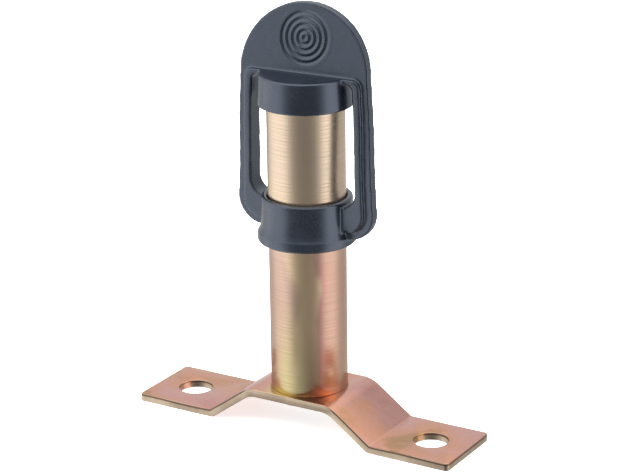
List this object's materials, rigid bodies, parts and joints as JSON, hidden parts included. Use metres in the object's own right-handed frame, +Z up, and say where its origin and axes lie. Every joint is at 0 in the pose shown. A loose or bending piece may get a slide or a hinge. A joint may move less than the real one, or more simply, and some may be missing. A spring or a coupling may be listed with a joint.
{
  "type": "beacon mounting spigot",
  "caption": "Bent steel strap bracket with two bolt holes and an upright contact tube for a plug-on warning beacon, kept shut by a rubber cap on a stretch loop.",
  "frame": {"origin": "on the surface that the feet stand on, on the tube's axis, midway between the two feet", "axes": "+Z up along the tube, +X along the strap through both feet; the grip tab lies in the X-Z plane"},
  "size_m": [0.112, 0.0306, 0.134],
  "materials": {
    "chromate_strap": "yellow chromate over zinc, satin, pink and olive tints",
    "chromate_tube": "yellow chromate over zinc on a turned tube, fine lines round it",
    "weld_metal": "plated weld bead, dull",
    "bush_rubber": "black rubber, matt",
    "housing_plastic": "black moulded plastic",
    "contact_brass": "bare brass, turned and stamped",
    "spring_steel": "bright spring wire",
    "cover_rubber": "blue-black moulded rubber, satin"
  },
  "bodies": {
    "mount": {"base_bracket": "chromate_strap", "spigot_tube": "chromate_tube", "base_weld": "weld_metal", "cable_bush": "bush_rubber", "contact_housing": "housing_plastic", "contact_sleeve": "contact_brass", "live_terminal": "contact_brass", "contact_spring": "spring_steel", "earth_contact": "contact_brass"},
    "contact": {"centre_contact": "contact_brass"},
    "collar": {"cover_collar": "cover_rubber", "cover_arm_left": "cover_rubber", "cover_arm_right": "cover_rubber"},
    "head": {"cover_head": "cover_rubber"}
  },
  "joints": [
    {"name": "cover_turn", "type": "hinge", "parent": "mount", "child": "collar", "pos_m": [0, 0, 0.0677], "axis": [0, 0, 1], "continuous": true},
    {"name": "cap_lift", "type": "slide", "parent": "collar", "child": "head", "axis": [0, 0, 1], "range_m": [0, 0.012], "stiffness_N_per_m": 1500, "deforming": ["cover_arm_left", "cover_arm_right"]},
    {"name": "contact_press", "type": "slide", "parent": "mount", "child": "contact", "axis": [0, 0, -1], "range_m": [0, 0.002], "stiffness_N_per_m": 800, "springref_m": -0.002, "deforming": ["contact_spring"]}
  ]
}
